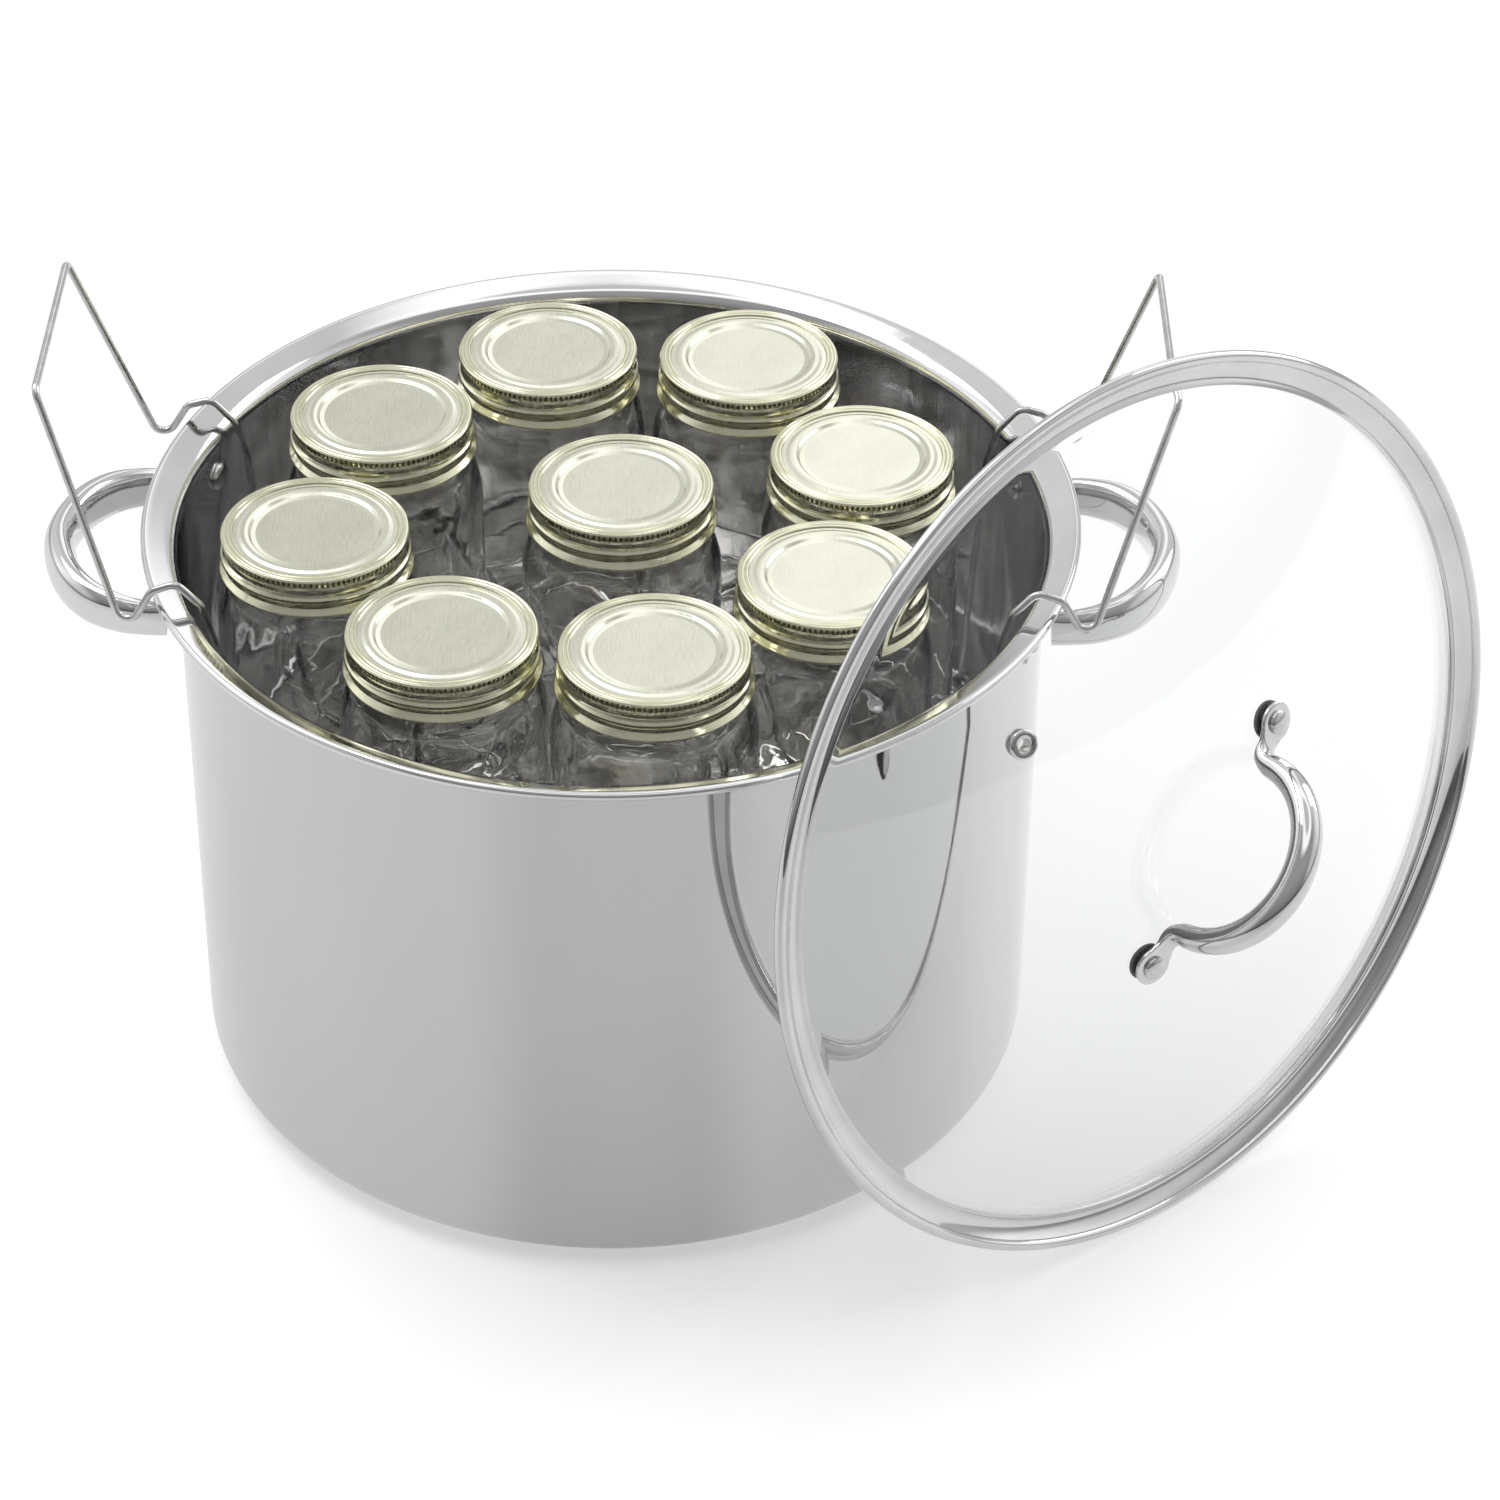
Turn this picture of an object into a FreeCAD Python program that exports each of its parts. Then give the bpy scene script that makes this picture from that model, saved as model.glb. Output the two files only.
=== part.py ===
"""Water bath canner: steel pot, wire jar rack, nine jars with two-piece closures, and a glass lid.

Millimetres. The origin is on the pot's axis, on the plane the pot stands on. +Z is up, and the two
side handles and the two rack handles lie along X. The lid stands on its edge beside the pot.
"""
import FreeCAD
import Part
import math
import os

Vector = FreeCAD.Vector
UP = Vector(0, 0, 1)
ORIGIN = Vector(0, 0, 0)

# ---- driving dimensions ----
POT_INNER_R = 160.0
POT_WALL = 0.8
POT_HEIGHT = 231.4
RIM_OUTER_R = 173.0
RIM_BEAD_R = 1.65
RIM_FLARE_R = 7.0
RIM_SLOPE = 22.0
POT_CORNER_R = 9.0
BASE_THICKNESS = 5.2
BASE_SKIN = 0.6
BASE_EDGE_R = 1.8
CLEARANCE = 0.3

HANDLE_REACH = 205.0
HANDLE_RIVET_ANGLE = 18.6
HANDLE_Z = 210.5

WIRE_R = 1.4
RACK_R = 148.1
RACK_Z = 111.3
RACK_HOOK_Y = 61.0

JAR_BODY_R = 37.4
JAR_HEIGHT = 127.0
JAR_WALL = 2.6
JAR_MOUTH_R = 29.6
JAR_CENTRES = (
    (-106.8, -27.0), (-57.0, -89.7), (18.2, -99.3), (80.9, -52.0), (92.7, 26.1),
    (50.1, 94.4), (-27.3, 98.4), (-88.2, 51.4), (3.6, 4.5),
)

LID_R = 171.5
GLASS_R = 159.6
GLASS_THICKNESS = 4.0
DOME_RISE = 40.1
DOME_EDGE_Z = -2.6
LID_BEAD_R = 2.1
LID_BEAD_Z = 0.3
LID_RIVET_X = 48.5
LID_VENT_Y = 99.0
LID_FACING = -50.85
LID_LEAN = 10.4
LID_HANDLE_TURN = 47.5
LID_DISTANCE = 218.4
LID_BEARING = -26.5

POT_OUTER_R = POT_INNER_R + POT_WALL
BASE_R = POT_OUTER_R - POT_CORNER_R - 0.8
WIRE_D = 2 * WIRE_R
JAR_FLOOR_Z = RACK_Z + WIRE_R + CLEARANCE
DOME_R = (GLASS_R ** 2 + DOME_RISE ** 2) / (2 * DOME_RISE)
DOME_CENTRE_Z = DOME_EDGE_Z + DOME_RISE - DOME_R


# ---- general shapes ----
def point(r, z):
    return Vector(r, 0, z)


def line(a, b):
    return Part.LineSegment(a, b).toShape()


def arc(a, middle, b):
    return Part.Arc(a, middle, b).toShape()


def on_circle(centre_r, centre_z, radius, degrees):
    turn = math.radians(degrees)
    return point(centre_r + radius * math.cos(turn), centre_z + radius * math.sin(turn))


def fused(first, *others):
    return first.multiFuse(list(others)).removeSplitter()


def turned(edges):
    """The solid that a closed outline in the XZ plane makes when turned about Z."""
    return Part.Face(Part.Wire(edges)).revolve(ORIGIN, UP, 360)


def turned_polygon(corners):
    ring = [point(r, z) for r, z in corners]
    return turned([line(a, b) for a, b in zip(ring, ring[1:] + ring[:1])])


def washer(outer_r, inner_r, low, high):
    return turned_polygon([(inner_r, low), (outer_r, low), (outer_r, high), (inner_r, high)])


def disc(radius, low, high):
    return Part.makeCylinder(radius, high - low, Vector(0, 0, low))


def domed_head(radius, low, height):
    """A rivet head: flat below at low, domed above."""
    ball_r = (radius ** 2 + height ** 2) / (2 * height)
    ball = Part.makeSphere(ball_r, Vector(0, 0, low + height - ball_r))
    return ball.common(disc(radius + 1, low, low + height + 1))


def bent_route(corners, bend_r):
    """Straight runs through the corners, joined by tangent arcs."""
    edges = []
    start = corners[0]
    for before, corner, after in zip(corners, corners[1:], corners[2:]):
        back = (before - corner).normalize()
        ahead = (after - corner).normalize()
        turn = math.pi - back.getAngle(ahead)
        room = 0.48 * min((before - corner).Length, (after - corner).Length)
        reach = min(bend_r * math.tan(turn / 2), room)
        radius = reach / math.tan(turn / 2)
        bisector = (back + ahead).normalize()
        centre = corner + bisector * (radius / math.cos(turn / 2))
        first = corner + back * reach
        last = corner + ahead * reach
        edges.append(line(start, first))
        edges.append(arc(first, centre - bisector * radius, last))
        start = last
    edges.append(line(start, corners[-1]))
    return Part.Wire(edges)


def rod(corners, bend_r, radius=WIRE_R):
    """Round wire bent along the corners."""
    direction = corners[1] - corners[0]
    section = Part.Wire(Part.makeCircle(radius, corners[0], direction))
    return bent_route(corners, bend_r).makePipeShell([section], True, False)


def oval_section(centre, across, width, height):
    """An ellipse centred there, width wide along across and height tall along Z."""
    wide, tall = width / 2, height / 2
    if wide > tall:
        curve = Part.Ellipse(centre + across * wide, centre + UP * tall, centre)
    else:
        curve = Part.Ellipse(centre + UP * tall, centre - across * wide, centre)
    return Part.Wire(curve.toShape())


# ---- pot ----
def pot_body():
    """Drawn shell: flat floor, rounded corner, straight wall, flared rim with a rolled edge."""
    floor_top = BASE_THICKNESS + POT_WALL
    corner_z = BASE_THICKNESS + POT_CORNER_R
    corner_r = POT_OUTER_R - POT_CORNER_R
    inner_corner = POT_CORNER_R - POT_WALL
    rise = math.tan(math.radians(RIM_SLOPE))
    flare_centre_r = POT_INNER_R + RIM_FLARE_R
    upright = 90 + RIM_SLOPE

    def bead(degrees):
        return on_circle(RIM_OUTER_R - RIM_BEAD_R, POT_HEIGHT - RIM_BEAD_R, RIM_BEAD_R, degrees)

    def corner(radius, degrees):
        return on_circle(corner_r, corner_z, radius, degrees)

    lip = bead(upright)
    flare_end = on_circle(flare_centre_r, 0, RIM_FLARE_R, upright)
    wall_top = lip.z - (lip.x - flare_end.x) * rise - flare_end.z

    def flare(radius, degrees):
        return on_circle(flare_centre_r, wall_top, radius, degrees)

    outer_flare = RIM_FLARE_R - POT_WALL
    return turned([
        line(point(0, BASE_THICKNESS), corner(POT_CORNER_R, -90)),
        arc(corner(POT_CORNER_R, -90), corner(POT_CORNER_R, -45), corner(POT_CORNER_R, 0)),
        line(corner(POT_CORNER_R, 0), flare(outer_flare, 180)),
        arc(flare(outer_flare, 180), flare(outer_flare, 150), flare(outer_flare, upright)),
        line(flare(outer_flare, upright), bead(170)),
        arc(bead(170), bead(320), lip),
        line(lip, flare(RIM_FLARE_R, upright)),
        arc(flare(RIM_FLARE_R, upright), flare(RIM_FLARE_R, 150), flare(RIM_FLARE_R, 180)),
        line(flare(RIM_FLARE_R, 180), corner(inner_corner, 0)),
        arc(corner(inner_corner, 0), corner(inner_corner, -45), corner(inner_corner, -90)),
        line(corner(inner_corner, -90), point(0, floor_top)),
        line(point(0, floor_top), point(0, BASE_THICKNESS)),
    ])


def base_core():
    """Heat-spreading disc sealed under the floor."""
    return disc(BASE_R - BASE_EDGE_R, BASE_SKIN, BASE_THICKNESS)


def base_cap():
    """Steel cap pressed round the disc. The pot stands on its flat face."""
    centre_r = BASE_R - BASE_EDGE_R
    edge_middle = on_circle(centre_r, BASE_EDGE_R, BASE_EDGE_R, -45)
    return turned([
        line(point(0, 0), point(centre_r, 0)),
        arc(point(centre_r, 0), edge_middle, point(BASE_R, BASE_EDGE_R)),
        line(point(BASE_R, BASE_EDGE_R), point(BASE_R, BASE_THICKNESS)),
        line(point(BASE_R, BASE_THICKNESS), point(0, BASE_THICKNESS)),
        line(point(0, BASE_THICKNESS), point(0, 0)),
    ]).cut(base_core())


def side_handle():
    """Oval tube bent to a U, each end pressed thin and joined to a foot that hugs the wall."""
    stations = [
        # along X, along Y, centre height, width across the tube, height of the tube
        (POT_OUTER_R - 6.5, 43.5, HANDLE_Z, 6.0, 14.0),
        (POT_OUTER_R + 6.0, 43.2, HANDLE_Z + 0.2, 7.0, 14.5),
        (POT_OUTER_R + 18.0, 41.4, HANDLE_Z + 1.2, 9.0, 16.0),
        (POT_OUTER_R + 30.0, 34.5, HANDLE_Z + 2.4, 11.0, 17.5),
        (POT_OUTER_R + 39.5, 20.5, HANDLE_Z + 3.3, 11.6, 18.0),
        (HANDLE_REACH, 0.0, HANDLE_Z + 3.6, 11.8, 18.0),
    ]
    far_side = [(x, -y, z, width, height) for x, y, z, width, height in stations[-2::-1]]
    route = stations + far_side
    sections = []
    for i, (x, y, z, width, height) in enumerate(route):
        before = route[max(i - 1, 0)]
        after = route[min(i + 1, len(route) - 1)]
        heading = Vector(after[0] - before[0], after[1] - before[1], 0).normalize()
        across = heading.cross(UP)
        sections.append(oval_section(Vector(x, y, z), across, width, height))
    tube = Part.makeLoft(sections, True, False)
    pieces = [tube.cut(disc(POT_OUTER_R + 0.05, 0, POT_HEIGHT))]
    for side in (1, -1):
        foot = washer(POT_OUTER_R + 2.0, POT_OUTER_R + 0.05, HANDLE_Z - 8, HANDLE_Z + 8)
        pad_y = side * POT_OUTER_R * math.sin(math.radians(HANDLE_RIVET_ANGLE - 1.0))
        pad = Part.makeBox(60, 22, 16, Vector(120, pad_y - 11, HANDLE_Z - 8))
        pad = pad.makeFillet(6.0, [e for e in pad.Edges if abs(e.BoundBox.XLength - 60) < 0.01])
        bore = Part.makeCylinder(2.6, 60, Vector(130, 0, HANDLE_Z), Vector(1, 0, 0))
        bore.rotate(ORIGIN, UP, side * HANDLE_RIVET_ANGLE)
        pieces.append(foot.common(pad).cut(bore))
    return fused(*pieces)


def handle_rivets():
    """One rivet through the wall and each handle foot, domed inside and out."""
    rivets = []
    grip = POT_WALL + 2.0
    for end in (0, 180):
        for side in (1, -1):
            shank = disc(2.5, -0.2, grip + 0.2)
            outer = domed_head(3.9, grip + 0.1, 2.0)
            inner = domed_head(5.4, 0, 2.6)
            inner.rotate(ORIGIN, Vector(1, 0, 0), 180)
            inner.translate(Vector(0, 0, -0.1))
            rivet = fused(shank, outer, inner)
            rivet.rotate(ORIGIN, Vector(0, 1, 0), 90)
            rivet.translate(Vector(POT_INNER_R, 0, HANDLE_Z))
            rivet.rotate(ORIGIN, UP, end + side * HANDLE_RIVET_ANGLE)
            rivets.append(rivet)
    return Part.makeCompound(rivets)


def rivet_holes():
    """The four holes through the pot wall for the handle rivets."""
    holes = []
    for end in (0, 180):
        for side in (1, -1):
            hole = Part.makeCylinder(2.6, 20, Vector(POT_INNER_R - 10, 0, HANDLE_Z), Vector(1, 0, 0))
            hole.rotate(ORIGIN, UP, end + side * HANDLE_RIVET_ANGLE)
            holes.append(hole)
    return Part.makeCompound(holes)


# ---- rack ----
SPOKES = 8
INNER_RING_RS = (22.0, 46.0, 72.0, 98.0, 124.0)
WELD_DEPTH = 0.1
SPOKE_Z = RACK_Z - WIRE_D + WELD_DEPTH


def wire_ring(radius):
    return Part.makeTorus(radius, WIRE_R, Vector(0, 0, RACK_Z))


def rack_inner_rings():
    return Part.makeCompound([wire_ring(r) for r in INNER_RING_RS])


def rack_spokes():
    """Straight wires welded under the rings."""
    spokes = []
    length = RACK_R - INNER_RING_RS[0] + 4
    for i in range(SPOKES):
        spoke = Part.makeCylinder(WIRE_R, length, Vector(INNER_RING_RS[0] - 2, 0, SPOKE_Z), Vector(1, 0, 0))
        spoke.rotate(ORIGIN, UP, (i + 0.5) * 360 / SPOKES)
        spokes.append(spoke)
    return Part.makeCompound(spokes)


def rack_feet():
    """Bent wire feet under the outer ring, which the rack stands on when it is lowered."""
    half_span = 15.0
    top = RACK_Z - WIRE_D + WELD_DEPTH
    bottom = top - 14.0
    feet = []
    for i in range(4):
        x = math.sqrt(RACK_R ** 2 - half_span ** 2)
        corners = [
            Vector(x, -half_span, top), Vector(x, -half_span, bottom),
            Vector(x, half_span, bottom), Vector(x, half_span, top),
        ]
        foot = rod(corners, 5.0)
        foot.rotate(ORIGIN, UP, 45 + 90 * i)
        feet.append(foot)
    return Part.makeCompound(feet)


def rack_handle():
    """One wire: eye on the ring, leg, hook over the rim, V outside it, grip bar, and the same back."""
    eye_x = math.sqrt(RACK_R ** 2 - RACK_HOOK_Y ** 2)
    eye_r = WIRE_D + 0.5
    half = [
        Vector(eye_x, -RACK_HOOK_Y, RACK_Z + eye_r),
        Vector(141.2, -RACK_HOOK_Y, 212.0),
        Vector(145.3, -RACK_HOOK_Y, 229.0),
        Vector(153.6, -RACK_HOOK_Y, 238.6),
        Vector(162.8, -RACK_HOOK_Y - 0.6, 235.6),
        Vector(173.4, -RACK_HOOK_Y - 1.8, 217.5),
        Vector(200.5, -44.0, 308.5),
    ]
    other_half = [Vector(p.x, -p.y, p.z) for p in reversed(half)]
    pieces = [rod(half + other_half, 4.5)]
    for side in (1, -1):
        eye = Part.makeTorus(eye_r, WIRE_R, ORIGIN, UP)
        eye.rotate(ORIGIN, Vector(1, 0, 0), 90)
        eye.rotate(ORIGIN, UP, side * math.degrees(math.asin(RACK_HOOK_Y / RACK_R)))
        eye.translate(Vector(eye_x, side * RACK_HOOK_Y, RACK_Z))
        pieces.append(eye)
    return fused(*pieces)


# ---- jars ----
def jar_glass():
    """Straight-sided jar with a rounded heel, a soft shoulder and a plain neck."""
    heel = 5.0
    foot_r = JAR_BODY_R - heel
    shoulder_z = 90.0
    neck_r = 32.4
    neck_z = 105.0
    top = JAR_HEIGHT - 0.9
    inner_r = JAR_BODY_R - JAR_WALL
    inner_heel = 4.0
    bore_z = 104.0
    return turned([
        line(point(0, 0), point(foot_r, 0)),
        arc(point(foot_r, 0), on_circle(foot_r, heel, heel, -45), point(JAR_BODY_R, heel)),
        line(point(JAR_BODY_R, heel), point(JAR_BODY_R, shoulder_z)),
        arc(point(JAR_BODY_R, shoulder_z), point(36.2, 98.0), point(neck_r + 0.8, neck_z - 0.6)),
        line(point(neck_r + 0.8, neck_z - 0.6), point(neck_r, neck_z + 1.0)),
        line(point(neck_r, neck_z + 1.0), point(neck_r, top)),
        line(point(neck_r, top), point(JAR_MOUTH_R, top)),
        line(point(JAR_MOUTH_R, top), point(JAR_MOUTH_R, bore_z)),
        arc(point(JAR_MOUTH_R, bore_z), point(33.4, 97.0), point(inner_r, shoulder_z - 2)),
        line(point(inner_r, shoulder_z - 2), point(inner_r, inner_heel + JAR_WALL)),
        arc(
            point(inner_r, inner_heel + JAR_WALL),
            on_circle(inner_r - inner_heel, inner_heel + JAR_WALL, inner_heel, -45),
            point(inner_r - inner_heel, JAR_WALL),
        ),
        line(point(inner_r - inner_heel, JAR_WALL), point(0, JAR_WALL)),
        line(point(0, JAR_WALL), point(0, 0)),
    ])


def jar_disc():
    """Flat sealing lid: sunk centre panel, raised ring and an outer land on the jar's mouth."""
    low = JAR_HEIGHT - 0.9
    return turned_polygon([
        (0, low - 0.5), (23.2, low - 0.5), (25.0, low), (32.8, low),
        (32.8, low + 0.5), (28.2, low + 0.5), (27.4, low + 0.9), (25.6, low + 0.9),
        (23.0, low), (0, low),
    ])


def jar_band():
    """Screw band: open top ring, plain skirt with one bead, and a rolled foot."""
    top = JAR_HEIGHT + 0.1
    return turned_polygon([
        (29.8, top - 0.4), (33.5, top - 0.4), (33.8, top - 0.8), (33.8, top - 3.2),
        (33.3, top - 4.6), (33.3, top - 7.2), (34.2, top - 9.2), (34.2, top - 10.4),
        (33.4, top - 12.2), (33.4, top - 13.2), (34.9, top - 14.6), (34.9, top - 15.4),
        (35.6, top - 15.4), (35.6, top - 14.0), (33.9, top - 12.6), (34.7, top - 10.6),
        (34.7, top - 9.0), (33.8, top - 7.0), (33.8, top - 4.8), (34.3, top - 3.4),
        (34.3, top - 0.6), (33.7, top), (29.8, top),
    ])


# ---- lid, drawn closed and centred, then stood beside the pot ----
def dome_z(r):
    return DOME_CENTRE_Z + math.sqrt(DOME_R ** 2 - r ** 2)


def on_dome(shape, x, y):
    """Moves a shape drawn on +Z so that its origin is on the dome and +Z is the dome's normal."""
    r = math.hypot(x, y)
    place = Vector(x, y, dome_z(r))
    normal = place - Vector(0, 0, DOME_CENTRE_Z)
    shape.Placement = FreeCAD.Placement(place, FreeCAD.Rotation(UP, normal)).multiply(shape.Placement)
    return shape


def stood(shape):
    """Places a lid piece: standing on its edge, leaning towards the pot, handle outwards."""
    facing = math.radians(LID_FACING)
    lean = math.radians(LID_LEAN)
    bearing = math.radians(LID_BEARING)
    turn = math.radians(LID_HANDLE_TURN)
    outward = Vector(
        math.cos(lean) * math.cos(facing), math.cos(lean) * math.sin(facing), math.sin(lean)
    )
    level = Vector(-math.sin(facing), math.cos(facing), 0)
    upslope = outward.cross(level)
    along = level * math.cos(turn) + upslope * math.sin(turn)
    across = outward.cross(along)
    bead_drop = (LID_R - LID_BEAD_R) * math.cos(lean) - LID_BEAD_Z * math.sin(lean)
    height = bead_drop + LID_BEAD_R + 0.05
    centre = Vector(LID_DISTANCE * math.cos(bearing), LID_DISTANCE * math.sin(bearing), height)
    turn_matrix = FreeCAD.Matrix(
        along.x, across.x, outward.x, centre.x,
        along.y, across.y, outward.y, centre.y,
        along.z, across.z, outward.z, centre.z,
        0, 0, 0, 1,
    )
    placed = shape.copy()
    placed.Placement = FreeCAD.Placement(turn_matrix).multiply(placed.Placement)
    return placed


def lid_glass():
    """Domed glass with a hole for each handle rivet and one for the vent."""
    outer = Part.makeSphere(DOME_R, Vector(0, 0, DOME_CENTRE_Z))
    inner = Part.makeSphere(DOME_R - GLASS_THICKNESS, Vector(0, 0, DOME_CENTRE_Z))
    shell = outer.cut(inner).common(disc(GLASS_R, -8, DOME_RISE + 10))
    holes = [on_dome(disc(3.4, -10, 10), x, 0) for x in (LID_RIVET_X, -LID_RIVET_X)]
    holes.append(on_dome(disc(4.2, -10, 10), 0, LID_VENT_Y))
    return shell.cut(Part.makeCompound(holes))


def lid_band():
    """Steel band: lips that grip the glass, a skirt, a face that rises outwards, and a round bead."""
    skin = 0.6
    gap = 0.06
    lip_r = GLASS_R - 1.3
    lip_z = dome_z(lip_r) + gap
    edge_r = GLASS_R + gap
    edge_z = DOME_EDGE_Z + gap
    skirt_r = GLASS_R + 0.8
    skirt_z = -7.8
    under_r = GLASS_R - 1.7
    under_z = -6.29
    under_edge_z = -7.21

    def bead(degrees):
        return on_circle(LID_R - LID_BEAD_R, LID_BEAD_Z, LID_BEAD_R, degrees)

    return turned([
        line(point(lip_r, lip_z), point(lip_r, lip_z + skin)),
        line(point(lip_r, lip_z + skin), point(skirt_r, edge_z + skin)),
        line(point(skirt_r, edge_z + skin), point(skirt_r + 1.0, edge_z)),
        line(point(skirt_r + 1.0, edge_z), bead(175)),
        arc(bead(175), bead(12), bead(-150)),
        line(bead(-150), point(skirt_r + 0.9, edge_z - 1.0)),
        line(point(skirt_r + 0.9, edge_z - 1.0), point(skirt_r, edge_z - 1.9)),
        line(point(skirt_r, edge_z - 1.9), point(skirt_r, skirt_z)),
        line(point(skirt_r, skirt_z), point(under_r, under_z - skin)),
        line(point(under_r, under_z - skin), point(under_r, under_z)),
        line(point(under_r, under_z), point(edge_r, under_edge_z)),
        line(point(edge_r, under_edge_z), point(edge_r, edge_z)),
        line(point(edge_r, edge_z), point(lip_r, lip_z)),
    ])


ARCH_R = 33.5
ARCH_Z = DOME_EDGE_Z + DOME_RISE + 4.0
TAB_THICKNESS = 1.8
WASHER_THICKNESS = 1.4


def lid_handle():
    """Arched round grip, thicker in the middle, ending in two flat tabs."""
    steps = 9
    sections = []
    for i in range(steps):
        turn = math.pi * i / (steps - 1)
        outward = Vector(math.cos(turn), 0, math.sin(turn))
        heading = Vector(-math.sin(turn), 0, math.cos(turn))
        centre = Vector(0, 0, ARCH_Z) + outward * ARCH_R
        radius = 4.4 + 1.5 * math.sin(turn)
        sections.append(Part.Wire(Part.makeCircle(radius, centre, heading)))
    pieces = [Part.makeLoft(sections, True, False)]
    for side in (1, -1):
        eye = disc(7.2, 0, TAB_THICKNESS)
        neck = Part.makeBox(16, 8, TAB_THICKNESS, Vector(-16, -4, 0))
        hole = disc(3.2, -1, TAB_THICKNESS + 1)
        tab = fused(eye, neck).cut(hole)
        if side < 0:
            tab.rotate(ORIGIN, UP, 180)
        tab.translate(Vector(0, 0, 0.1))
        pieces.append(on_dome(tab, side * LID_RIVET_X, 0))
        stem_x = side * ARCH_R
        stem = Part.makeCylinder(3.6, 5.0, Vector(stem_x, 0, ARCH_Z - 4.2))
        pieces.append(stem)
    return fused(*pieces)


def lid_rivets():
    """Rivet through each tab and the glass, domed outside, with a flat head inside."""
    inside = -GLASS_THICKNESS - WASHER_THICKNESS - 0.2
    rivets = []
    for x in (LID_RIVET_X, -LID_RIVET_X):
        shank = disc(3.0, inside - 0.5, TAB_THICKNESS + 0.3)
        outer = domed_head(4.4, TAB_THICKNESS + 0.15, 2.2)
        inner = disc(4.6, inside - 1.6, inside - 0.05)
        rivets.append(on_dome(fused(shank, outer, inner), x, 0))
    return Part.makeCompound(rivets)


def lid_washers():
    """Soft washer inside the glass under each rivet."""
    high = -GLASS_THICKNESS - 0.12
    return Part.makeCompound([
        on_dome(washer(7.0, 3.1, high - WASHER_THICKNESS, high), x, 0)
        for x in (LID_RIVET_X, -LID_RIVET_X)
    ])


def lid_vent():
    """Steam vent: an eyelet through the glass, flanged on both sides."""
    eyelet = turned_polygon([
        (2.4, -GLASS_THICKNESS - 1.0), (5.2, -GLASS_THICKNESS - 1.0), (5.2, -GLASS_THICKNESS - 0.1),
        (4.0, -GLASS_THICKNESS - 0.1), (4.0, 0.1), (5.4, 0.1), (5.4, 0.7), (4.8, 1.2), (2.4, 1.2),
    ])
    return on_dome(eyelet, 0, LID_VENT_Y)


def export(name, shape):
    shape.exportStep("parts/" + name + ".step")


def build():
    os.makedirs("parts", exist_ok=True)
    export("pot_body", pot_body().cut(rivet_holes()))
    export("base_core", base_core())
    export("base_cap", base_cap())
    export("handle_rivets", handle_rivets())
    grip = side_handle()
    export("side_handle_right", grip)
    grip.rotate(ORIGIN, UP, 180)
    export("side_handle_left", grip)
    export("rack_outer_ring", wire_ring(RACK_R))
    export("rack_inner_rings", rack_inner_rings())
    export("rack_spokes", rack_spokes())
    export("rack_feet", rack_feet())
    bail = rack_handle()
    export("rack_handle_right", bail)
    bail.rotate(ORIGIN, UP, 180)
    export("rack_handle_left", bail)
    for name, piece in (("glass", jar_glass()), ("disc", jar_disc()), ("band", jar_band())):
        for number, (x, y) in enumerate(JAR_CENTRES, start=1):
            placed = piece.copy()
            placed.translate(Vector(x, y, JAR_FLOOR_Z))
            export("jar_%s_%d" % (name, number), placed)
    export("lid_glass", stood(lid_glass()))
    export("lid_band", stood(lid_band()))
    export("lid_handle", stood(lid_handle()))
    export("lid_rivets", stood(lid_rivets()))
    export("lid_washers", stood(lid_washers()))
    export("lid_vent", stood(lid_vent()))


build()
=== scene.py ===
import math
import bmesh
import bpy
from mathutils import Matrix, Vector


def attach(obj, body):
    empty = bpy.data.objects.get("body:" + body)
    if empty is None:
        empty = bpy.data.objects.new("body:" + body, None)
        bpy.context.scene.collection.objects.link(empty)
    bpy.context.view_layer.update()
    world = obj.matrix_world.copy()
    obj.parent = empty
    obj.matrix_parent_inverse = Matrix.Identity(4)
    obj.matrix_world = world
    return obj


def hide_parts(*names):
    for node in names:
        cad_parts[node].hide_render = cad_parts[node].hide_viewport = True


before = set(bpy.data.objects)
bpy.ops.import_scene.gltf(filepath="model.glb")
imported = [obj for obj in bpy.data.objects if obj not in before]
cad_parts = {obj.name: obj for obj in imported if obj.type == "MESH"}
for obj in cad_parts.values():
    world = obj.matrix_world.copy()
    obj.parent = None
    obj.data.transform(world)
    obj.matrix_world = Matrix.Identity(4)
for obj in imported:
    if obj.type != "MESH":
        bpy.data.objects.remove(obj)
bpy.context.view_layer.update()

MM = 0.001
TAU = 2 * math.pi
scene = bpy.context.scene

# ---------------------------------------------------------------- sizes, in millimetres
POT_IN, WALL, POT_H = 160.0, 0.8, 231.4
POT_OUT = POT_IN + WALL
RIM_R, BEAD, FLARE_R, SLOPE = 173.0, 1.65, 7.0, 22.0
BASE_T, BASE_EDGE, CORNER = 5.2, 1.8, 9.0
BASE_R = POT_OUT - CORNER - 0.8
HANDLE_Z, HANDLE_REACH, RIVET_ANGLE = 210.5, 205.0, 18.6
WIRE = 1.4
RACK_R, RACK_Z, HOOK_Y = 148.1, 111.3, 61.0
RINGS = (22.0, 46.0, 72.0, 98.0, 124.0)
JAR_H, JAR_R, JAR_Z = 127.0, 37.4, 113.0
LID_R, GLASS_R, GLASS_T = 171.5, 159.6, 4.0
DOME_RISE, DOME_EDGE = 40.1, -2.6
DOME_R = (GLASS_R ** 2 + DOME_RISE ** 2) / (2 * DOME_RISE)
DOME_C = DOME_EDGE + DOME_RISE - DOME_R
LID_BEAD, BEAD_Z, RIVET_X, VENT_Y = 2.1, 0.3, 48.5, 99.0
ARCH_R, ARCH_Z = 33.5, DOME_EDGE + DOME_RISE + 4.0
TAB_T = 1.8
TAB_END, TAB_NECK = 39.4, 4.1  # where the lid handle's flat tab bends up, and its half width there
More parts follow.
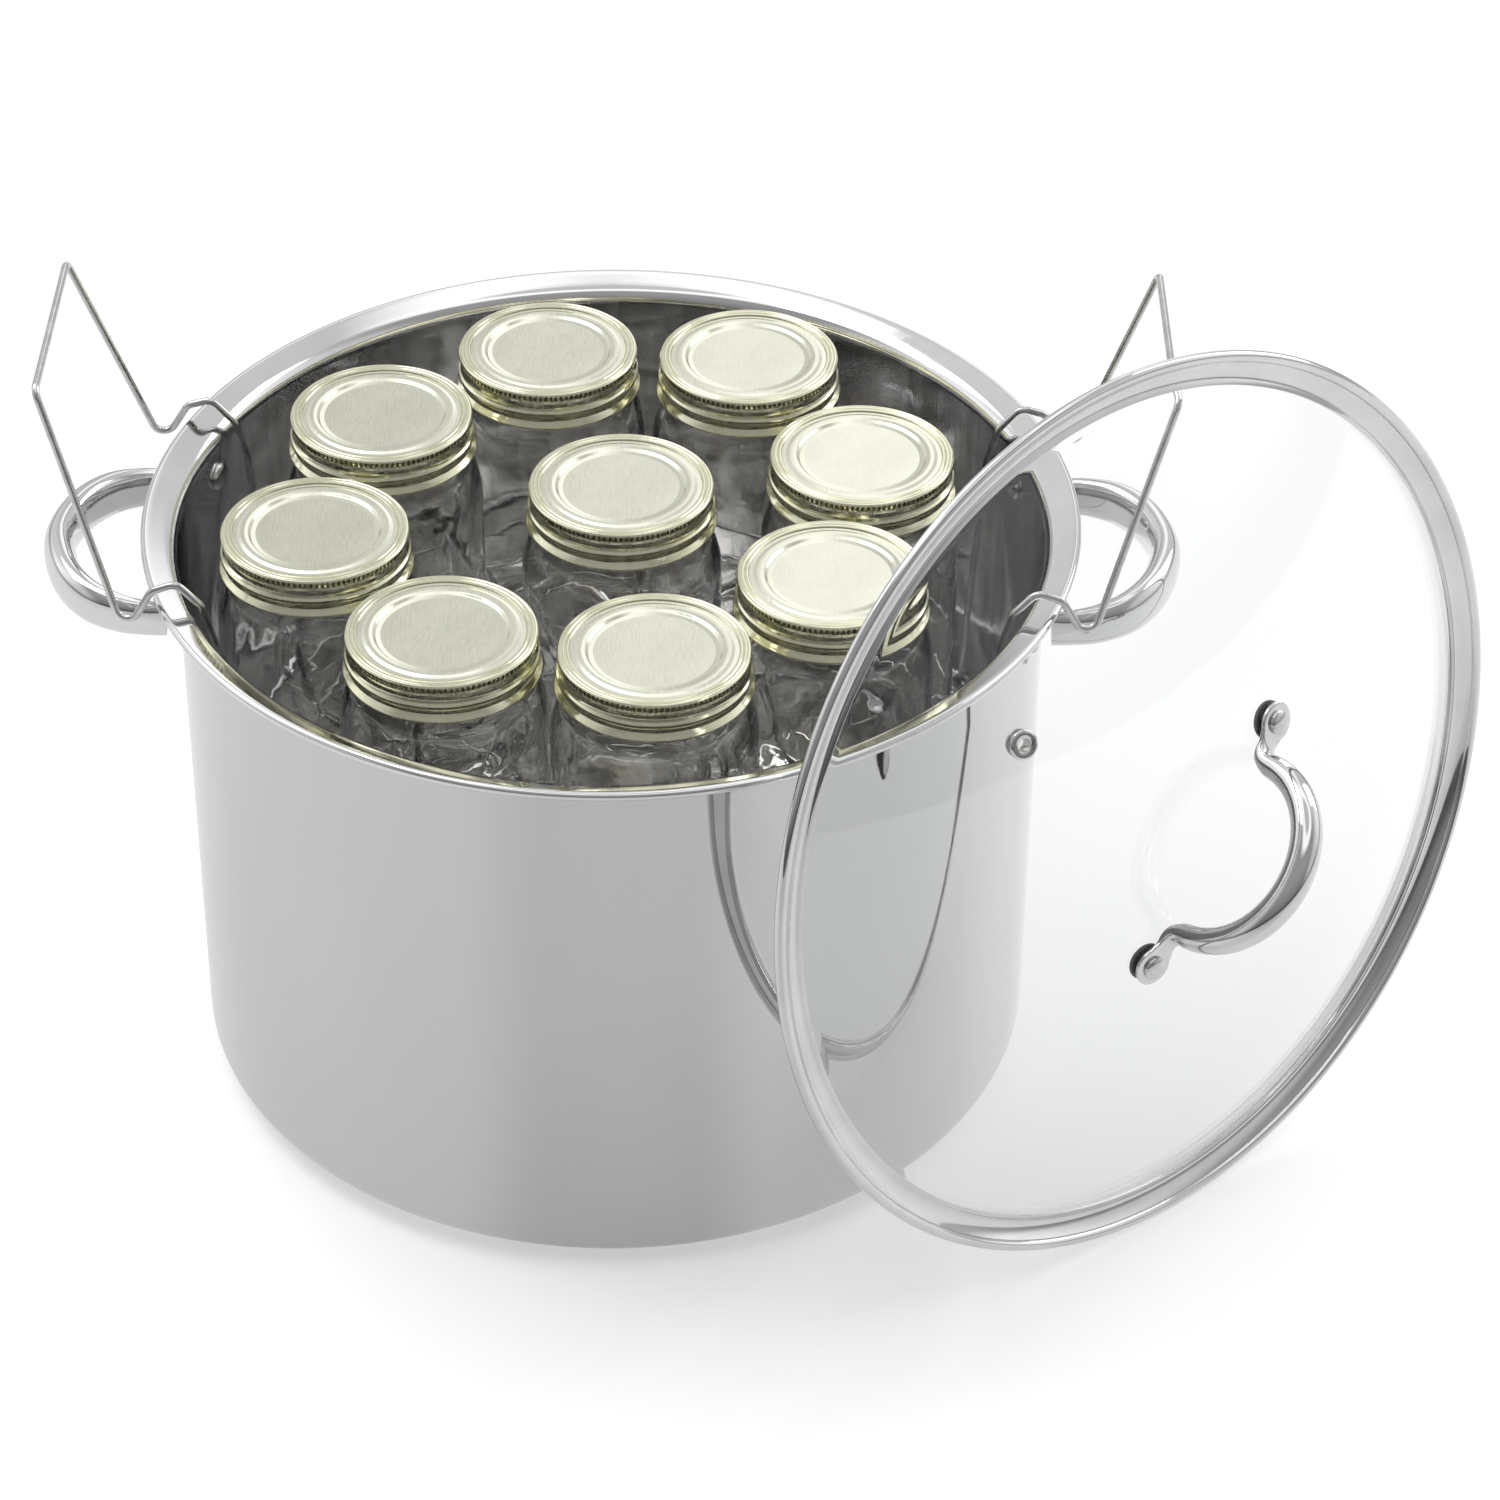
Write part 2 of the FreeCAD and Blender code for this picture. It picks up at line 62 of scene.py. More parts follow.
LID_AWAY = 218.4  # from the pot's axis to the lid's, at the height of the lid's centre
FIT = 0.06  # gap between two surfaces that lie on each other


# ---------------------------------------------------------------- mesh tools
def arc3(a, m, b, n):
    """n + 1 points from a to b on the circle through a, m and b."""
    (ax, ay), (mx, my), (bx, by) = a, m, b
    d = 2 * (ax * (my - by) + mx * (by - ay) + bx * (ay - my))
    aa, mm, bb = ax * ax + ay * ay, mx * mx + my * my, bx * bx + by * by
    ux = (aa * (my - by) + mm * (by - ay) + bb * (ay - my)) / d
    uy = (aa * (bx - mx) + mm * (ax - bx) + bb * (mx - ax)) / d
    radius = math.hypot(ax - ux, ay - uy)
    start = math.atan2(ay - uy, ax - ux)
    middle = (math.atan2(my - uy, mx - ux) - start) % TAU
    end = (math.atan2(by - uy, bx - ux) - start) % TAU
    if middle > end:
        end -= TAU
    return [
        (ux + radius * math.cos(start + end * i / n), uy + radius * math.sin(start + end * i / n))
        for i in range(n + 1)
    ]


def round_arc(centre, radius, first, last, n):
    """n + 1 points on a circle, from the angle first to the angle last, in degrees."""
    return [
        (centre[0] + radius * math.cos(math.radians(first + (last - first) * i / n)),
         centre[1] + radius * math.sin(math.radians(first + (last - first) * i / n)))
        for i in range(n + 1)
    ]


def rounded(corners, closed=False, steps=4):
    """Corners (x, y, bend radius) as points, with each corner rounded."""
    out = []
    count = len(corners)
    for i, (x, y, bend) in enumerate(corners):
        here = Vector((x, y))
        if bend <= 0 or (not closed and i in (0, count - 1)):
            out.append((x, y))
            continue
        before = Vector(corners[i - 1][:2])
        after = Vector(corners[(i + 1) % count][:2])
        back, ahead = (before - here), (after - here)
        room = 0.49 * min(back.length, ahead.length)
        back.normalize(), ahead.normalize()
        turn = math.pi - back.angle(ahead)
        if turn < 0.02:
            out.append((x, y))
            continue
        reach = min(bend * math.tan(turn / 2), room)
        radius = reach / math.tan(turn / 2)
        centre = here + (back + ahead).normalized() * (radius / math.cos(turn / 2))
        first, last = here + back * reach - centre, here + ahead * reach - centre
        start = math.atan2(first.y, first.x)
        sweep = (math.atan2(last.y, last.x) - start + math.pi) % TAU - math.pi
        for k in range(steps + 1):
            angle = start + sweep * k / steps
            out.append((centre.x + radius * math.cos(angle), centre.y + radius * math.sin(angle)))
    return out


def lathe(profile, segments, closed=True, wobble=None):
    """Turns points (r, z) about Z: vertices, faces, and the profile index each face starts from.

    wobble(index, angle, r, z) adds to the radius.
    """
    verts, rows = [], []
    for k, (r, z) in enumerate(profile):
        if r < 1e-6:
            rows.append([len(verts)] * segments)
            verts.append((0.0, 0.0, z))
            continue
        row = []
        for i in range(segments):
            angle = TAU * i / segments
            radius = r + (wobble(k, angle, r, z) if wobble else 0.0)
            row.append(len(verts))
            verts.append((radius * math.cos(angle), radius * math.sin(angle), z))
        rows.append(row)
    faces, owner = [], []
    pairs = [(i, i + 1) for i in range(len(rows) - 1)] + ([(len(rows) - 1, 0)] if closed else [])
    for p, q in pairs:
        a, b = rows[p], rows[q]
        for i in range(segments):
            j = (i + 1) % segments
            ring = []
            for v in (a[i], a[j], b[j], b[i]):
                if v not in ring:
                    ring.append(v)
            if len(ring) > 2:
                faces.append(ring)
                owner.append(p)
    return verts, faces, owner


def merged(*parts):
    """Several (vertices, faces) as one."""
    verts, faces = [], []
    for part in parts:
        shift = len(verts)
        verts += list(part[0])
        faces += [[v + shift for v in f] for f in part[1]]
    return verts, faces


def moved(part, matrix):
    return [tuple(matrix @ Vector(v)) for v in part[0]], part[1]


def route(corners, bend, steps=8):
    """Straight runs through 3-D corners, with tangent arcs between them."""
    points = [corners[0].copy()]
    for before, corner, after in zip(corners, corners[1:], corners[2:]):
        back, ahead = (before - corner).normalized(), (after - corner).normalized()
        turn = math.pi - back.angle(ahead)
        reach = min(bend * math.tan(turn / 2), 0.48 * min((before - corner).length, (after - corner).length))
        radius = reach / math.tan(turn / 2)
        middle = (back + ahead).normalized()
        centre = corner + middle * (radius / math.cos(turn / 2))
        first, last = corner + back * reach - centre, corner + ahead * reach - centre
        normal = first.cross(last).normalized()
        sweep = first.angle(last)
        for k in range(steps + 1):
            points.append(centre + Matrix.Rotation(sweep * k / steps, 3, normal) @ first)
    points.append(corners[-1].copy())
    return points


def swept(path, section, sides, up=None):
    """Sweeps section(k, t) -> (across, upward) offsets along the path, with closed ends.

    up fixes the frame's second axis; without it the frame is carried along the path.
    """
    verts, faces = [], []
    last = len(path) - 1
    carried = None
    for k, place in enumerate(path):
        heading = (path[min(k + 1, last)] - path[max(k - 1, 0)]).normalized()
        if up is not None:
            across = heading.cross(up).normalized()
        elif carried is None:
            across = heading.orthogonal().normalized()
        else:
            across = (carried - heading * carried.dot(heading)).normalized()
        carried = across
        upward = across.cross(heading).normalized()
        for i in range(sides):
            a, u = section(k, TAU * i / sides)
            verts.append(tuple(place + across * a + upward * u))
    for k in range(last):
        for i in range(sides):
            j = (i + 1) % sides
            faces.append([k * sides + i, k * sides + j, (k + 1) * sides + j, (k + 1) * sides + i])
    faces.append(list(range(sides))[::-1])
    faces.append([last * sides + i for i in range(sides)])
    return verts, faces


def wire(path, sides=20):
    """Round wire with flat ends."""
    return swept(path, lambda k, t: (WIRE * math.cos(t), WIRE * math.sin(t)), sides)


def ring(radius, height, segments=192):
    """Round wire closed to a level ring."""
    return lathe(round_arc((radius, height), WIRE, 0, 360, 20)[:-1], segments)[:2]


def raw_mesh(name, part):
    """A mesh in metres from (vertices, faces) in millimetres."""
    mesh = bpy.data.meshes.new(name)
    mesh.from_pydata([Vector(v) * MM for v in part[0]], [], part[1])
    return mesh


def face_outwards(mesh):
    work = bmesh.new()
    work.from_mesh(mesh)
    bmesh.ops.recalc_face_normals(work, faces=work.faces)
    work.to_mesh(mesh)
    work.free()


def smoothed(mesh, sharp):
    """Shades smooth, apart from the edges that bend by more than sharp degrees."""
    mesh.shade_smooth()
    mesh.set_sharp_from_angle(angle=math.radians(sharp))


def piece(name, part, body, materials, nodes, sharp=35, indices=None, matrix=None):
    """A mesh from (vertices, faces), as one visible piece. indices says which material each face has."""
    mesh = raw_mesh(name, part)
    for m in materials if isinstance(materials, (list, tuple)) else [materials]:
        mesh.materials.append(m)
    if indices:
        mesh.polygons.foreach_set("material_index", indices)
    face_outwards(mesh)
    smoothed(mesh, sharp)
    return instance(name, mesh, body, nodes, matrix)


def instance(name, mesh, body, nodes, matrix=None):
    """A visible piece that uses this mesh, rides on the body and stands for the nodes."""
    obj = bpy.data.objects.new(name, mesh)
    scene.collection.objects.link(obj)
    if matrix is not None:
        obj.matrix_world = matrix
    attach(obj, body)
    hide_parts(*nodes)
    return obj


# ---------------------------------------------------------------- materials
class Graph:
    """Short names for building a node tree."""

    def __init__(self, tree):
        self.tree = tree
        tree.nodes.clear()

    def node(self, kind, **settings):
        made = self.tree.nodes.new(kind)
        for key, value in settings.items():
            setattr(made, key, value)
        return made

    def put(self, socket, value):
        if isinstance(value, bpy.types.NodeSocket):
            self.tree.links.new(value, socket)
        elif value is not None:
            socket.default_value = value

    def math(self, operation, a, b=None):
        made = self.node("ShaderNodeMath", operation=operation)
        for socket, value in zip(made.inputs, (a, b)):
            self.put(socket, value)
        return made.outputs[0]

    def span(self, value, low, high, to_low=0.0, to_high=1.0):
        """Smooth step from to_low at low to to_high at high."""
        made = self.node("ShaderNodeMapRange", interpolation_type="SMOOTHSTEP")
        ends = {"Value": value, "From Min": low, "From Max": high, "To Min": to_low, "To Max": to_high}
        for key, number in ends.items():
            self.put(made.inputs[key], number)
        return made.outputs["Result"]

    def mix(self, factor, a, b):
        """Colour mix. Sockets 6 and 7 and output 2 are the node's colour ones."""
        made = self.node("ShaderNodeMix", data_type="RGBA")
        for socket, value in ((0, factor), (6, a), (7, b)):
            self.put(made.inputs[socket], value)
        return made.outputs[2]

    def blend(self, factor, a, b):
        """Shader mix."""
        made = self.node("ShaderNodeMixShader")
        for socket, value in zip(made.inputs, (factor, a, b)):
            self.put(socket, value)
        return made.outputs[0]

    def emission(self, strength):
        made = self.node("ShaderNodeEmission")
        self.put(made.inputs["Strength"], strength)
        return made.outputs[0]

    def object_place(self, scale):
        coordinates = self.node("ShaderNodeTexCoord")
        mapping = self.node("ShaderNodeMapping")
        self.tree.links.new(coordinates.outputs["Object"], mapping.inputs["Vector"])
        mapping.inputs["Scale"].default_value = scale
        return mapping.outputs[0]

    def noise(self, scale, detail=3.0, stretch=(1, 1, 1), rough=0.55):
        made = self.node("ShaderNodeTexNoise")
        self.tree.links.new(self.object_place(stretch), made.inputs["Vector"])
        made.inputs["Scale"].default_value = scale
        made.inputs["Detail"].default_value = detail
        made.inputs["Roughness"].default_value = rough
        return made.outputs["Fac"]

    def bump(self, height, strength, distance):
        made = self.node("ShaderNodeBump")
        made.inputs["Strength"].default_value = strength
        made.inputs["Distance"].default_value = distance
        self.put(made.inputs["Height"], height)
        return made.outputs[0]


def grey(value):
    return (value, value, value, 1.0)


def material(name):
    """A new material, its node graph and its one surface shader."""
    made = bpy.data.materials.new(name)
    made.use_nodes = True
    graph = Graph(made.node_tree)
    shader = graph.node("ShaderNodeBsdfPrincipled")
    output = graph.node("ShaderNodeOutputMaterial")
    graph.tree.links.new(shader.outputs[0], output.inputs[0])
    return made, graph, shader


def steel(name, low, high, rough, grain, stretch=(1, 1, 1), bump=0.02, depth=0.0004):
    """Polished metal: cloudy tone and gloss, and a slow ripple in the reflection.

    grain holds the noise scales of the tone, the gloss and the ripple.
    """
    made, g, shader = material(name)
    cloud = g.noise(grain[0], 4.0, stretch)
    fine = g.noise(grain[1], 5.0, stretch, 0.65)
    g.put(shader.inputs["Base Color"], g.mix(g.span(cloud, 0.3, 0.7), grey(low), grey(high)))
    g.put(shader.inputs["Roughness"], g.span(fine, 0.25, 0.75, rough[0], rough[1]))
    g.put(shader.inputs["Normal"], g.bump(g.noise(grain[2], 2.0, stretch), bump, depth))
    shader.inputs["Metallic"].default_value = 1.0
    return made


def wall_steel(name, low, high, rough):
    """The drawn inside of the pot: streaks that run up the wall."""
    made, g, shader = material(name)
    streak = g.noise(1.0, 5.0, (110, 110, 5), 0.6)
    broad = g.noise(1.0, 3.0, (28, 28, 3), 0.5)
    both = g.math("ADD", g.math("MULTIPLY", streak, 0.55), g.math("MULTIPLY", broad, 0.45))
    g.put(shader.inputs["Base Color"], g.mix(g.span(both, 0.36, 0.64), grey(low), grey(high)))
    g.put(shader.inputs["Roughness"], g.span(streak, 0.25, 0.75, rough[0], rough[1]))
    g.put(shader.inputs["Normal"], g.bump(both, 0.25, 0.0006))
    shader.inputs["Metallic"].default_value = 1.0
    return made


def glass(name, tint, edge, rough, ripple, ripple_scale, ior=1.47):
    """Clear glass with a faint cast and a little ripple."""
    made, g, shader = material(name)
    g.put(shader.inputs["Base Color"], g.mix(g.noise(18.0), tint, edge))
    g.put(shader.inputs["Roughness"], g.span(g.noise(90.0), 0.3, 0.7, rough[0], rough[1]))
    g.put(shader.inputs["Normal"], g.bump(g.noise(ripple_scale, 2.0), ripple, 0.001))
    shader.inputs["Transmission Weight"].default_value = 1.0
    shader.inputs["IOR"].default_value = ior
    return made


def gold(name, low, high, rough, grain_bump):
    """Pale gold lacquer over rolled tinplate, with a fine grain one way."""
    made, g, shader = material(name)
    grain = g.noise(1.0, 4.0, (2600, 160, 160), 0.7)
    cloud = g.noise(45.0, 3.0)
    tone = g.math("ADD", g.math("MULTIPLY", grain, 0.5), g.math("MULTIPLY", cloud, 0.5))
    g.put(shader.inputs["Base Color"], g.mix(g.span(tone, 0.35, 0.65), low, high))
    g.put(shader.inputs["Roughness"], g.span(grain, 0.25, 0.75, rough[0], rough[1]))
    g.put(shader.inputs["Normal"], g.bump(grain, grain_bump, 0.00004))
    shader.inputs["Metallic"].default_value = 1.0
    return made


def rubber(name):
    made, g, shader = material(name)
    g.put(shader.inputs["Base Color"], g.mix(g.noise(300.0), grey(0.035), grey(0.075)))
    g.put(shader.inputs["Roughness"], g.span(g.noise(500.0), 0.3, 0.7, 0.45, 0.65))
    g.put(shader.inputs["Normal"], g.bump(g.noise(900.0), 0.15, 0.0002))
    return made


POT_OUTSIDE = steel("pot_outside_polish", 0.60, 0.63, (0.015, 0.04), (7, 40, 5), (1, 1, 0.4), 0.05, 0.0012)
POT_INSIDE = wall_steel("pot_inside_drawn", 0.64, 0.84, (0.05, 0.13))
POT_RIM = steel("pot_rim_polish", 0.70, 0.76, (0.05, 0.10), (30, 160, 20), (1, 1, 1), 0.03, 0.0004)
BASE_STEEL = steel("base_cap_polish", 0.55, 0.62, (0.08, 0.16), (40, 300, 90))
HANDLE_STEEL = steel("handle_polish", 0.68, 0.74, (0.03, 0.07), (30, 150, 25), (1, 1, 1), 0.04, 0.0005)
WIRE_STEEL = steel("bright_wire", 0.52, 0.66, (0.16, 0.26), (120, 400, 60), (1, 1, 1), 0.02, 0.0002)
LID_STEEL = steel("lid_band_polish", 0.66, 0.73, (0.04, 0.08), (40, 200, 20), (1, 1, 1), 0.03, 0.0003)
GRIP_STEEL = steel("lid_handle_polish", 0.64, 0.72, (0.03, 0.06), (60, 200, 40), (1, 1, 1), 0.04, 0.0003)
RIVET_STEEL = steel("rivet_satin", 0.58, 0.68, (0.14, 0.24), (300, 900, 500))
LID_GLASS = glass("lid_glass_clear", (0.985, 0.99, 0.99, 1), (0.97, 0.98, 0.98, 1), (0.0, 0.004), 0.01, 12.0)
JAR_GLASS = glass("jar_glass_clear", (0.992, 0.99, 0.987, 1), (0.97, 0.965, 0.96, 1), (0.0, 0.01), 0.25, 55.0, 1.5)
DISC_GOLD = gold("closure_disc_gold", (0.73, 0.73, 0.61, 1), (0.82, 0.82, 0.70, 1), (0.14, 0.24), 0.3)
BAND_GOLD = gold("closure_band_gold", (0.69, 0.675, 0.49, 1), (0.78, 0.77, 0.60, 1), (0.10, 0.18), 0.05)
# The knurl's grooves: the band's gold darkened as painted shade in the recesses.
KNURL_GROOVE_PAINTED_SHADE = gold("closure_knurl_groove_painted_shade", (0.16, 0.14, 0.06, 1), (0.28, 0.25, 0.12, 1), (0.25, 0.4), 0.05)
WASHER_RUBBER = rubber("washer_rubber")
CORE_METAL = steel("core_aluminium", 0.62, 0.72, (0.3, 0.45), (60, 300, 120))

# ---------------------------------------------------------------- pot
bead_c = (RIM_R - BEAD, POT_H - BEAD)
corner_c = (POT_OUT - CORNER, BASE_T + CORNER)
upright = 90 + SLOPE
lip = round_arc(bead_c, BEAD, upright, upright, 1)[0]
flare_r = POT_IN + FLARE_R
flare_end = round_arc((flare_r, 0), FLARE_R, upright, upright, 1)[0]
wall_top = lip[1] - (lip[0] - flare_end[0]) * math.tan(math.radians(SLOPE)) - flare_end[1]


def between(a, b, n):
    """The n - 1 points that divide a straight line into n, without its ends."""
    return [(a[0] + (b[0] - a[0]) * i / n, a[1] + (b[1] - a[1]) * i / n) for i in range(1, n)]


def pot_shell():
    """One drawn sheet, and each face's finish: 0 outside, 1 rim, 2 inside."""
    flare_steps, bead_steps, blend_steps = 10, 26, 4
    corner_top = BASE_T + CORNER
    outside = [(0.0, BASE_T)] + round_arc(corner_c, CORNER, -90, 0, 12)
    outside += between((POT_OUT, corner_top), (POT_OUT, wall_top), 12)
    outside += round_arc((flare_r, wall_top), FLARE_R - WALL, 180, upright, flare_steps)
    rim = round_arc(bead_c, BEAD, 170, 360 + upright, bead_steps)
    inner_flare = round_arc((flare_r, wall_top), FLARE_R, upright, 180, 16)
    rim += between(rim[-1], inner_flare[0], blend_steps) + inner_flare
    wall = between((POT_IN, wall_top), (POT_IN, corner_top), 12)
    wall += round_arc(corner_c, CORNER - WALL, 0, -90, 12) + [(0.0, BASE_T + WALL)]
    verts, faces, owner = lathe(outside + rim + wall, 320, closed=False)
    rim_from = len(outside) - (flare_steps + 1)
    inner_from = len(outside) + len(rim) - (blend_steps + 1)
    return (verts, faces), [0 if k < rim_from else (1 if k < inner_from else 2) for k in owner]


shell, finish = pot_shell()
piece("pot_shell", shell, "pot", [POT_OUTSIDE, POT_RIM, POT_INSIDE], ["pot_body"], indices=finish)

CAP_SHEET = 0.6
cap_profile = [(0.0, 0.0)] + round_arc((BASE_R - BASE_EDGE, BASE_EDGE), BASE_EDGE, -90, 0, 8)
cap_profile += [(BASE_R, BASE_T - 0.5), (BASE_R - 0.5, BASE_T), (BASE_R - BASE_EDGE, BASE_T - 0.05)]
cap_profile += [(BASE_R - BASE_EDGE, CAP_SHEET), (0.0, CAP_SHEET)]
piece("base_disc_cap", lathe(cap_profile, 256, closed=False)[:2], "pot", BASE_STEEL, ["base_cap"])

# The disc inside the cap can't be seen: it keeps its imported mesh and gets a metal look.
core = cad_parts["base_core"]
for slot_ in core.material_slots:
    slot_.material = CORE_METAL
if not core.material_slots:
    core.data.materials.append(CORE_METAL)


def smooth_through(stations, count):
    """Catmull-Rom through tuples of numbers."""
    out = []
    n = len(stations)
    for k in range(count + 1):
        at = (n - 1) * k / count
        i = min(int(at), n - 2)
        t = at - i
        p0, p1, p2, p3 = (stations[max(0, min(n - 1, j))] for j in (i - 1, i, i + 1, i + 2))
        out.append(tuple(  # a, b, c, d: one number at the four stations around this place
            0.5 * (2 * b + (c - a) * t + (2 * a - 5 * b + 4 * c - d) * t * t + (3 * b - a - 3 * c + d) * t ** 3)
            for a, b, c, d in zip(p0, p1, p2, p3)
        ))
    return out


def side_handle():
    """Broad oval tube, pressed thin at both ends, with a shallow pressed outline on its outer face."""
    half = [  # x, y, z, width, height
        (POT_OUT + 0.2, 43.4, HANDLE_Z, 5.6, 14.0),
        (POT_OUT + 7.0, 43.1, HANDLE_Z + 0.3, 7.0, 14.5),
        (POT_OUT + 18.0, 41.2, HANDLE_Z + 1.2, 9.0, 16.0),
        (POT_OUT + 30.0, 34.3, HANDLE_Z + 2.4, 11.0, 17.5),
        (POT_OUT + 39.5, 20.3, HANDLE_Z + 3.3, 11.6, 18.0),
        (HANDLE_REACH - 0.2, 0.0, HANDLE_Z + 3.6, 11.6, 17.8),
    ]
    stations = smooth_through(half + [(x, -y, z, w, h) for x, y, z, w, h in half[-2::-1]], 110)
    path = [Vector(s[:3]) for s in stations]

    def section(k, t):
        width, height = stations[k][3], stations[k][4]
        c, s = math.cos(t), math.sin(t)
        pinch = 0.22 * math.exp(-((abs(s) - 0.62) / 0.13) ** 2) if c > 0 else 0.0
        squareness = 0.92
        return (
            (width / 2 - pinch) * math.copysign(abs(c) ** squareness, c),
            height / 2 * math.copysign(abs(s) ** squareness, s),
        )

    verts, faces = swept(path, section, 56, Vector((0, 0, 1)))
    hug = POT_OUT + FIT
    fitted = []
    for x, y, z in verts:
        if math.hypot(x, y) < hug:
            x = math.sqrt(hug * hug - y * y)
        fitted.append((x, y, z))
    return fitted, faces


def handle_foot(side):
    """Thin plate that hugs the wall where the tube ends."""
    wide, high, bend = 9.0, 7.6, 4.0
    corners = [(-wide, -high, bend), (wide, -high, bend), (wide, high, bend), (-wide, high, bend)]
    outline = rounded(corners, True, 6)
    verts, faces = [], []
    n = len(outline)
    centre = math.radians(side * (RIVET_ANGLE - 1.0))
    for radius, inset in ((POT_OUT + FIT, 0.0), (POT_OUT + 1.4, 0.0), (POT_OUT + 1.95, 0.8)):
        for u, w in outline:
            scale = 1 - inset / max(abs(u), abs(w), bend)
            angle = centre + u * scale / POT_OUT
            verts.append((radius * math.cos(angle), radius * math.sin(angle), HANDLE_Z + w * scale))
    for layer in range(2):
        for i in range(n):
            j = (i + 1) % n
            faces.append([layer * n + i, layer * n + j, (layer + 1) * n + j, (layer + 1) * n + i])
    faces.append(list(range(n))[::-1])
    faces.append([2 * n + i for i in range(n)])
    return verts, faces


half_turn = Matrix.Rotation(math.pi, 4, "Z")
grip = merged(side_handle(), handle_foot(1), handle_foot(-1))
piece("side_handle_tube_right", grip, "pot", HANDLE_STEEL, ["side_handle_right"], sharp=50)
piece(
    "side_handle_tube_left", moved(grip, half_turn), "pot", HANDLE_STEEL,
    ["side_handle_left"], sharp=50,
)


def head(radius, height, low):
    """Outline of a rivet head: a short straight edge, then a dome."""
    edge = 0.28 * height
    return [(radius - 0.15, low), (radius, low + 0.15), (radius, low + edge)] + [
        (radius * math.cos(a), low + edge + (height - edge) * math.sin(a))
        for a in (math.radians(d) for d in (12, 24, 38, 52, 66, 78))
    ] + [(0.0, low + height)]


def wall_rivet():
    """Rivet along Z, from the head inside the pot to the one on the handle's foot."""
    grip_t = WALL + 2.0
    outer = head(3.9, 2.0, grip_t + 0.1)
    inner = [(r, -z) for r, z in head(5.4, 2.6, 0.1)]
    return lathe(inner[::-1] + [(2.5, -0.1), (2.5, grip_t + 0.1)] + outer, 48, closed=False)[:2]


rivets = []
for end in (0, 180):
    for side in (1, -1):
        turn = Matrix.Rotation(math.radians(end + side * RIVET_ANGLE), 4, "Z")
        place = turn @ Matrix.Translation((POT_IN, 0, HANDLE_Z)) @ Matrix.Rotation(math.pi / 2, 4, "Y")
        rivets.append(moved(wall_rivet(), place))
piece("wall_rivets", merged(*rivets), "pot", RIVET_STEEL, ["handle_rivets"], sharp=50)

# ---------------------------------------------------------------- rack
piece("rack_rim_ring", ring(RACK_R, RACK_Z), "rack", WIRE_STEEL, ["rack_outer_ring"])
floor_rings = merged(*[ring(r, RACK_Z) for r in RINGS])
piece("rack_floor_rings", floor_rings, "rack", WIRE_STEEL, ["rack_inner_rings"])
spoke_z = RACK_Z - 2 * WIRE + 0.1
spokes = []
for i in range(8):
    angle = TAU * (i + 0.5) / 8
    out = Vector((math.cos(angle), math.sin(angle), 0))
    lift = Vector((0, 0, spoke_z))
    spokes.append(wire([out * far + lift for far in (RINGS[0] - 2, 60, 110, RACK_R + 1.9)]))
piece("rack_floor_spokes", merged(*spokes), "rack", WIRE_STEEL, ["rack_spokes"])
FOOT_HALF, FOOT_DROP, FOOT_BEND = 15, 14, 5.0
foot_x = math.sqrt(RACK_R ** 2 - FOOT_HALF ** 2)
foot_low = spoke_z - FOOT_DROP
foot_corners = [
    Vector((foot_x, y, z))
    for y, z in ((-FOOT_HALF, spoke_z), (-FOOT_HALF, foot_low), (FOOT_HALF, foot_low), (FOOT_HALF, spoke_z))
]
foot = wire(route(foot_corners, FOOT_BEND))
feet = [moved(foot, Matrix.Rotation(math.radians(45 + 90 * i), 4, "Z")) for i in range(4)]
piece("rack_wire_feet", merged(*feet), "rack", WIRE_STEEL, ["rack_feet"])


def bail():
    """Handle wire: eye round the ring, leg, hook over the rim, V, and the raised grip."""
    eye_x = math.sqrt(RACK_R ** 2 - HOOK_Y ** 2)
    eye_r = 2 * WIRE + 0.5
    half = [Vector(corner) for corner in (
        (eye_x, -HOOK_Y, RACK_Z + eye_r),
        (141.2, -HOOK_Y, 212.0),
        (145.3, -HOOK_Y, 229.0),
        (153.6, -HOOK_Y, 238.6),
        (162.8, -HOOK_Y - 0.6, 235.6),
        (173.4, -HOOK_Y - 1.8, 217.5),
        (200.5, -44.0, 308.5),
    )]
    whole = half + [Vector((p.x, -p.y, p.z)) for p in reversed(half)]
    bails = [wire(route(whole, 4.5), 24)]
    for side in (1, -1):
        eye = lathe(round_arc((eye_r, 0), WIRE, 0, 360, 20)[:-1], 48)[:2]
        place = Matrix.Translation((eye_x, side * HOOK_Y, RACK_Z))
        place = place @ Matrix.Rotation(side * math.asin(HOOK_Y / RACK_R), 4, "Z")
        bails.append(moved(eye, place @ Matrix.Rotation(math.pi / 2, 4, "X")))
    return merged(*bails)


handle_wire = bail()
piece("rack_bail_right", handle_wire, "rack_handle_right", WIRE_STEEL, ["rack_handle_right"])
handle_wire = moved(handle_wire, half_turn)
piece("rack_bail_left", handle_wire, "rack_handle_left", WIRE_STEEL, ["rack_handle_left"])

